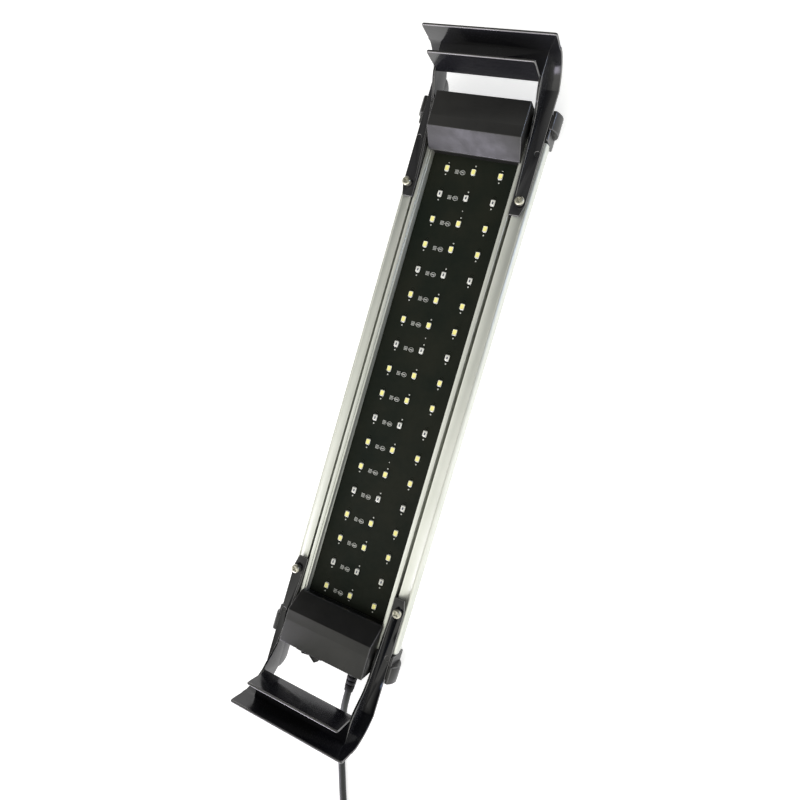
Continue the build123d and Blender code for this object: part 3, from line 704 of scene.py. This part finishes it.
def led_package(bm, low, high, well):
    """White case with a round-cornered well; well is (half size x, half size y, depth)."""
    centre = (low + high) / 2
    half_x, half_y = (high.x - low.x) / 2, (high.y - low.y) / 2
    top = high.z
    well_x, well_y, depth = well
    loft(bm, [(rounded_loop(half_x - 0.05 * MM, half_y - 0.05 * MM, 0.15 * MM), low.z),
              (rounded_loop(half_x, half_y, 0.18 * MM), low.z + 0.2 * MM),
              (rounded_loop(half_x - 0.04 * MM, half_y - 0.04 * MM, 0.18 * MM), top - 0.06 * MM),
              (rounded_loop(half_x - 0.12 * MM, half_y - 0.12 * MM, 0.18 * MM), top),
              (rounded_loop(well_x, well_y, 0.32 * MM), top),
              (rounded_loop(well_x - 0.06 * MM, well_y - 0.06 * MM, 0.3 * MM), top - depth),
              (rounded_loop(well_x * 0.5, well_y * 0.5, 0.2 * MM), top - depth * 1.15, 1)],
         (centre.x, centre.y, 0))
    notch = (centre.x + half_x - 0.38 * MM, centre.y - half_y + 0.36 * MM)
    slab(bm, *notch, top - 0.01 * MM, 0.14 * MM, 0.14 * MM, 0.03 * MM, 0.01 * MM, 0.05 * MM, material=2)


def leds(node, name, slot, lens, well, with_die):
    """All LEDs of one colour; the clear ones show their die."""
    bm = bmesh.new()
    for low, high in solids_of(node):
        led_package(bm, low, high, well)
        if with_die:
            centre = (low + high) / 2
            slab(bm, centre.x, centre.y, high.z - well[2] * 1.15, 0.22 * MM, 0.3 * MM, 0.07 * MM,
                 0.02 * MM, 0.04 * MM, material=3)
    piece = mesh_object(name, bm, LED_CASE, lens, CERAMIC, DIE)
    smooth(piece, 42)
    return place(piece, LAMP, slot, node)


def chip_resistors():
    """Ceramic chips with tinned ends and a pale coded top."""
    bm = bmesh.new()
    for low, high in solids_of("resistors"):
        centre = (low + high) / 2
        half_x, half_y = (high.x - low.x) / 2, (high.y - low.y) / 2
        height = high.z - low.z
        slab(bm, centre.x, centre.y, low.z, half_x - 0.3 * MM, half_y - 0.02 * MM, height - 0.02 * MM)
        for side in (-1, 1):
            slab(bm, centre.x + side * (half_x - 0.2 * MM), centre.y, low.z, 0.2 * MM, half_y, height,
                 material=1)
        slab(bm, centre.x, centre.y, high.z - 0.03 * MM, half_x - 0.55 * MM, half_y - 0.35 * MM, 0.03 * MM,
             0.01 * MM, material=2)
    chips = mesh_object("chip_resistors", bm, CERAMIC, TIN, INK)
    return place(chips, LAMP, "chip", "resistors")


# ---- fasteners, switch and strain relief ----
SCREW_RADIUS, SCREW_HEAD_HIGH, INSERT_BORE = 1.5 * MM, 2.4 * MM, 1.55 * MM


def screw_thread(bm, x, y, low, high, radius, pitch=0.5 * MM):
    """A stack of V-shaped ridges that reads as a thread."""
    count = int((high - low) / pitch)
    for k in range(count):
        base = low + k * pitch
        loft(bm, [(circle(radius - 0.22 * MM, 24), base), (circle(radius, 24), base + pitch * 0.5),
                  (circle(radius - 0.22 * MM, 24), base + pitch)], (x, y, 0))


def lock_screw(side):
    """Pan-head screw: softened head with its cross recess, and a threaded stretch below it."""
    node = "lock_screw_" + side
    low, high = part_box(node)
    piece = softened(node, "screw_" + side, "screw_steel", (NICKEL,), 0.1 * MM)
    bm = bmesh.new()
    centre = (low + high) / 2
    head_low = high.z - SCREW_HEAD_HIGH
    screw_thread(bm, centre.x, centre.y, low.z, head_low - 0.1 * MM, SCREW_RADIUS)
    thread = mesh_object("thread_" + side, bm, NICKEL)
    smooth(thread, 50)
    place(thread, "screw_" + side, "screw_steel")
    return piece


def knurled_inserts(end, body):
    """Thread inserts with straight knurling and a chamfered rim."""
    bm = bmesh.new()
    teeth = 28
    for low, high in solids_of("lock_inserts_" + end):
        centre = (low + high) / 2
        radius = (high.x - low.x) / 2
        knurl = [(r * math.cos(a), r * math.sin(a)) for r, a in
                 ((radius - (0.14 * MM if k % 2 else 0), math.pi * k / teeth) for k in range(2 * teeth))]
        loft(bm, [(circle(INSERT_BORE, 2 * teeth), low.z), (circle(radius - 0.2 * MM, 2 * teeth), low.z),
                  (knurl, low.z + 0.2 * MM), (knurl, high.z - 0.2 * MM),
                  (circle(radius - 0.2 * MM, 2 * teeth), high.z), (circle(INSERT_BORE, 2 * teeth), high.z),
                  (circle(INSERT_BORE, 2 * teeth), low.z)], (centre.x, centre.y, 0), close=(False, False))
    bmesh.ops.remove_doubles(bm, verts=bm.verts, dist=0.002 * MM)
    inserts = mesh_object("knurled_inserts_" + end, bm, DARK_STEEL)
    return place(inserts, body, "screw_steel", "lock_inserts_" + end)


def strain_relief():
    """Flange and tapered sleeve with shallow rings that let it bend."""
    low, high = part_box("strain_relief")
    x, z = (low.x + high.x) / 2, (low.z + high.z) / 2
    face = -COVER_END
    turn = Matrix(((1, 0, 0), (0, 0, -1), (0, 1, 0)))     # rings lie across Y, heights run towards -Y
    length = face - low.y
    flange = [(3.3, -3.9), (3.3, 0.0), (4.4, 0.0), (4.6, 0.2), (4.6, 1.2), (4.4, 1.5), (3.9, 1.7)]
    count, first, last, root, tip, bore = 5, 3.2, 18.0, 3.85, 3.05, 2.3
    pitch = (last - first) / count
    grooves = []
    for k in range(count):
        start = first + k * pitch
        size = root + (tip - root) * (start / (length / MM))
        for at, drop in ((0.0, 0.0), (0.2, 0.3), (0.8, 0.3), (1.0, 0.0), (pitch - 0.15, 0.0)):
            grooves.append((size - drop, start + at))
    end = length / MM
    mouth = [(tip, last), (tip - 0.1, end - 0.4), (tip - 0.35, end), (bore + 0.02, end), (bore, end - 1.5)]
    bm = bmesh.new()
    profile = flange + grooves + mouth                    # radius and distance from the cover, in mm
    loft(bm, [(circle(r * MM, 40), at * MM) for r, at in profile], (x, face, z), turn)
    sleeve = mesh_object("strain_relief_sleeve", bm, RUBBER)
    smooth(sleeve, 40)
    return place(sleeve, LAMP, "cord_rubber", "strain_relief")


def plain_nodes():
    """CAD nodes whose shape is right as it is get their finish here."""
    finishes = {
        "thermal_tape": TAPE,
        "gasket_top": RUBBER,
        "gasket_cord_end": RUBBER,
        "cover_screws_top": NICKEL,
        "cover_screws_cord_end": NICKEL,
        "switch_terminals": BRASS,
        "driver_board": GREEN_BOARD,
        "driver_parts": CERAMIC,
        "driver_standoffs": NYLON,
        "driver_leads": RED_WIRE,
    }
    for node, material in finishes.items():
        slots = NODES[node].material_slots
        if not slots:
            NODES[node].data.materials.append(material)
        for slot in slots:
            slot.material = material


# ---- stage ----
FLOOR_GLOW = 0.62
SKY_LEVEL, SKY_SLOPE = 0.72, 1.15      # radiance straight up, and how fast it falls towards +Y
SKY_LOW, SKY_HIGH = 0.05, 1.7


def floor():
    """A wide pale floor that also glows faintly, as a light table does."""
    bm = bmesh.new()
    bmesh.ops.create_grid(bm, x_segments=8, y_segments=8, size=3.0)
    obj = mesh_object("floor", bm)
    material, tree, shader = new_material("pale_floor", Roughness=0.8)
    cloud = grain(tree, 6, 2.0)
    connect(tree, shader, Base_Color=tint(tree, cloud, (0.8, 0.8, 0.79), (0.83, 0.83, 0.82)))
    shader.inputs["Emission Color"].default_value = (1, 1, 1, 1)
    shader.inputs["Emission Strength"].default_value = FLOOR_GLOW
    obj.data.materials.append(material)
    obj.location.z = -0.02 * MM


def sky():
    """Soft surroundings: bright behind the cord end, dim beyond the top end."""
    world = bpy.data.worlds.new("studio")
    bpy.context.scene.world = world
    world.use_nodes = True
    tree = world.node_tree
    tree.nodes.clear()
    toward = add(tree, "ShaderNodeTexCoord").outputs["Generated"]
    parts = add(tree, "ShaderNodeSeparateXYZ", {"Vector": toward})
    level = add(tree, "ShaderNodeMapRange", {
        "Value": parts.outputs["Y"],
        "From Min": (SKY_LEVEL - SKY_HIGH) / SKY_SLOPE, "From Max": (SKY_LEVEL - SKY_LOW) / SKY_SLOPE,
        "To Min": SKY_HIGH, "To Max": SKY_LOW}).outputs[0]
    lit = add(tree, "ShaderNodeBackground", {"Color": (1.0, 0.995, 0.93, 1), "Strength": level})
    seen = add(tree, "ShaderNodeBackground", {"Color": (0.93, 0.94, 0.95, 1), "Strength": 0.95})
    ray = add(tree, "ShaderNodeLightPath").outputs["Is Camera Ray"]
    mix = add(tree, "ShaderNodeMixShader", {0: ray, 1: lit.outputs[0], 2: seen.outputs[0]})
    output = add(tree, "ShaderNodeOutputWorld", {"Surface": mix.outputs[0]})
    output.is_active_output = True


def soft_light(name, location, size, watts, colour=(1, 1, 1), target=(0, 0, 0.01)):
    data = bpy.data.lights.new(name, "AREA")
    data.shape = "RECTANGLE"
    data.size, data.size_y = size
    data.energy = watts
    data.color = colour
    light = bpy.data.objects.new(name, data)
    light.location = location
    light.rotation_euler = (Vector(target) - Vector(location)).to_track_quat("-Z", "Y").to_euler()
    light.visible_camera = False
    bpy.context.scene.collection.objects.link(light)


# ---- build ----
add_camera()
cord_pieces = [cord_tie(), plug_shell(), plug_blades()]
power_cord()

# The housing, hoods, end covers and brackets get a lighter material on their rounded edges: painted
# highlights.
softened("housing", LAMP, "aluminium", (ALUMINIUM, ALUMINIUM_PAINTED_HIGHLIGHT), 0.3 * MM, share=along_lamp)
for shell in ("hood_top", "hood_cord_end", "end_cover_top", "end_cover_cord_end"):
    softened(shell, LAMP, "black_plastic", (PLASTIC, PLASTIC_PAINTED_HIGHLIGHT), 0.4 * MM, 3, share=seam_is_sharp)
for end in ("top", "bottom"):
    finish = (BRACKET, BRACKET_PAINTED_HIGHLIGHT)
    softened("bracket_" + end, end + "_bracket", "bracket_plastic", finish, 0.62 * MM, 4, share=round_rims)
softened("switch_body", LAMP, "switch_plastic", (SWITCH,), 0.15 * MM)
softened("switch_rocker", "rocker", "switch_plastic", (SWITCH,), 0.25 * MM)
strain_relief()
for end, body in (("top", "top_bracket"), ("bottom", "bottom_bracket")):
    knurled_inserts(end, body)
    for side in ("left", "right"):
        lock_screw(end + "_" + side)

led_board()
BOARD_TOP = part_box("led_board")[1].z
every_led = [((low + high) / 2) for node in ("white_leds", "blue_leds") for low, high in solids_of(node)]
every_led.sort(key=lambda p: (-round(p.y, 4), p.x))
led_rows = [every_led[k:k + 3] for k in range(0, len(every_led), 3)]
copper_runs(led_rows, BOARD_TOP)
solder_points(led_rows, BOARD_TOP)
silkscreen(led_rows, solids_of("resistors"), BOARD_TOP)
WHITE_WELL = (1.22 * MM, 1.54 * MM, 0.08 * MM)
BLUE_WELL = (0.55 * MM, 0.95 * MM, 0.22 * MM)
leds("white_leds", "white_led_packages", "led_white", YELLOW, WHITE_WELL, False)
leds("blue_leds", "blue_led_packages", "led_blue", WELL, BLUE_WELL, True)
chip_resistors()
plain_nodes()

floor()
sky()
soft_light("key_soft_box", (-0.42, -1.0, 0.30), (0.9, 0.34), 6.5, (0.85, 0.8, 1.0))
soft_light("side_window", (0.9, 0.52, 0.34), (0.12, 0.4), 1.3, (0.5, 0.64, 1.0), (0, 0.17, 0.02))
bpy.context.scene.view_settings.view_transform = "Standard"
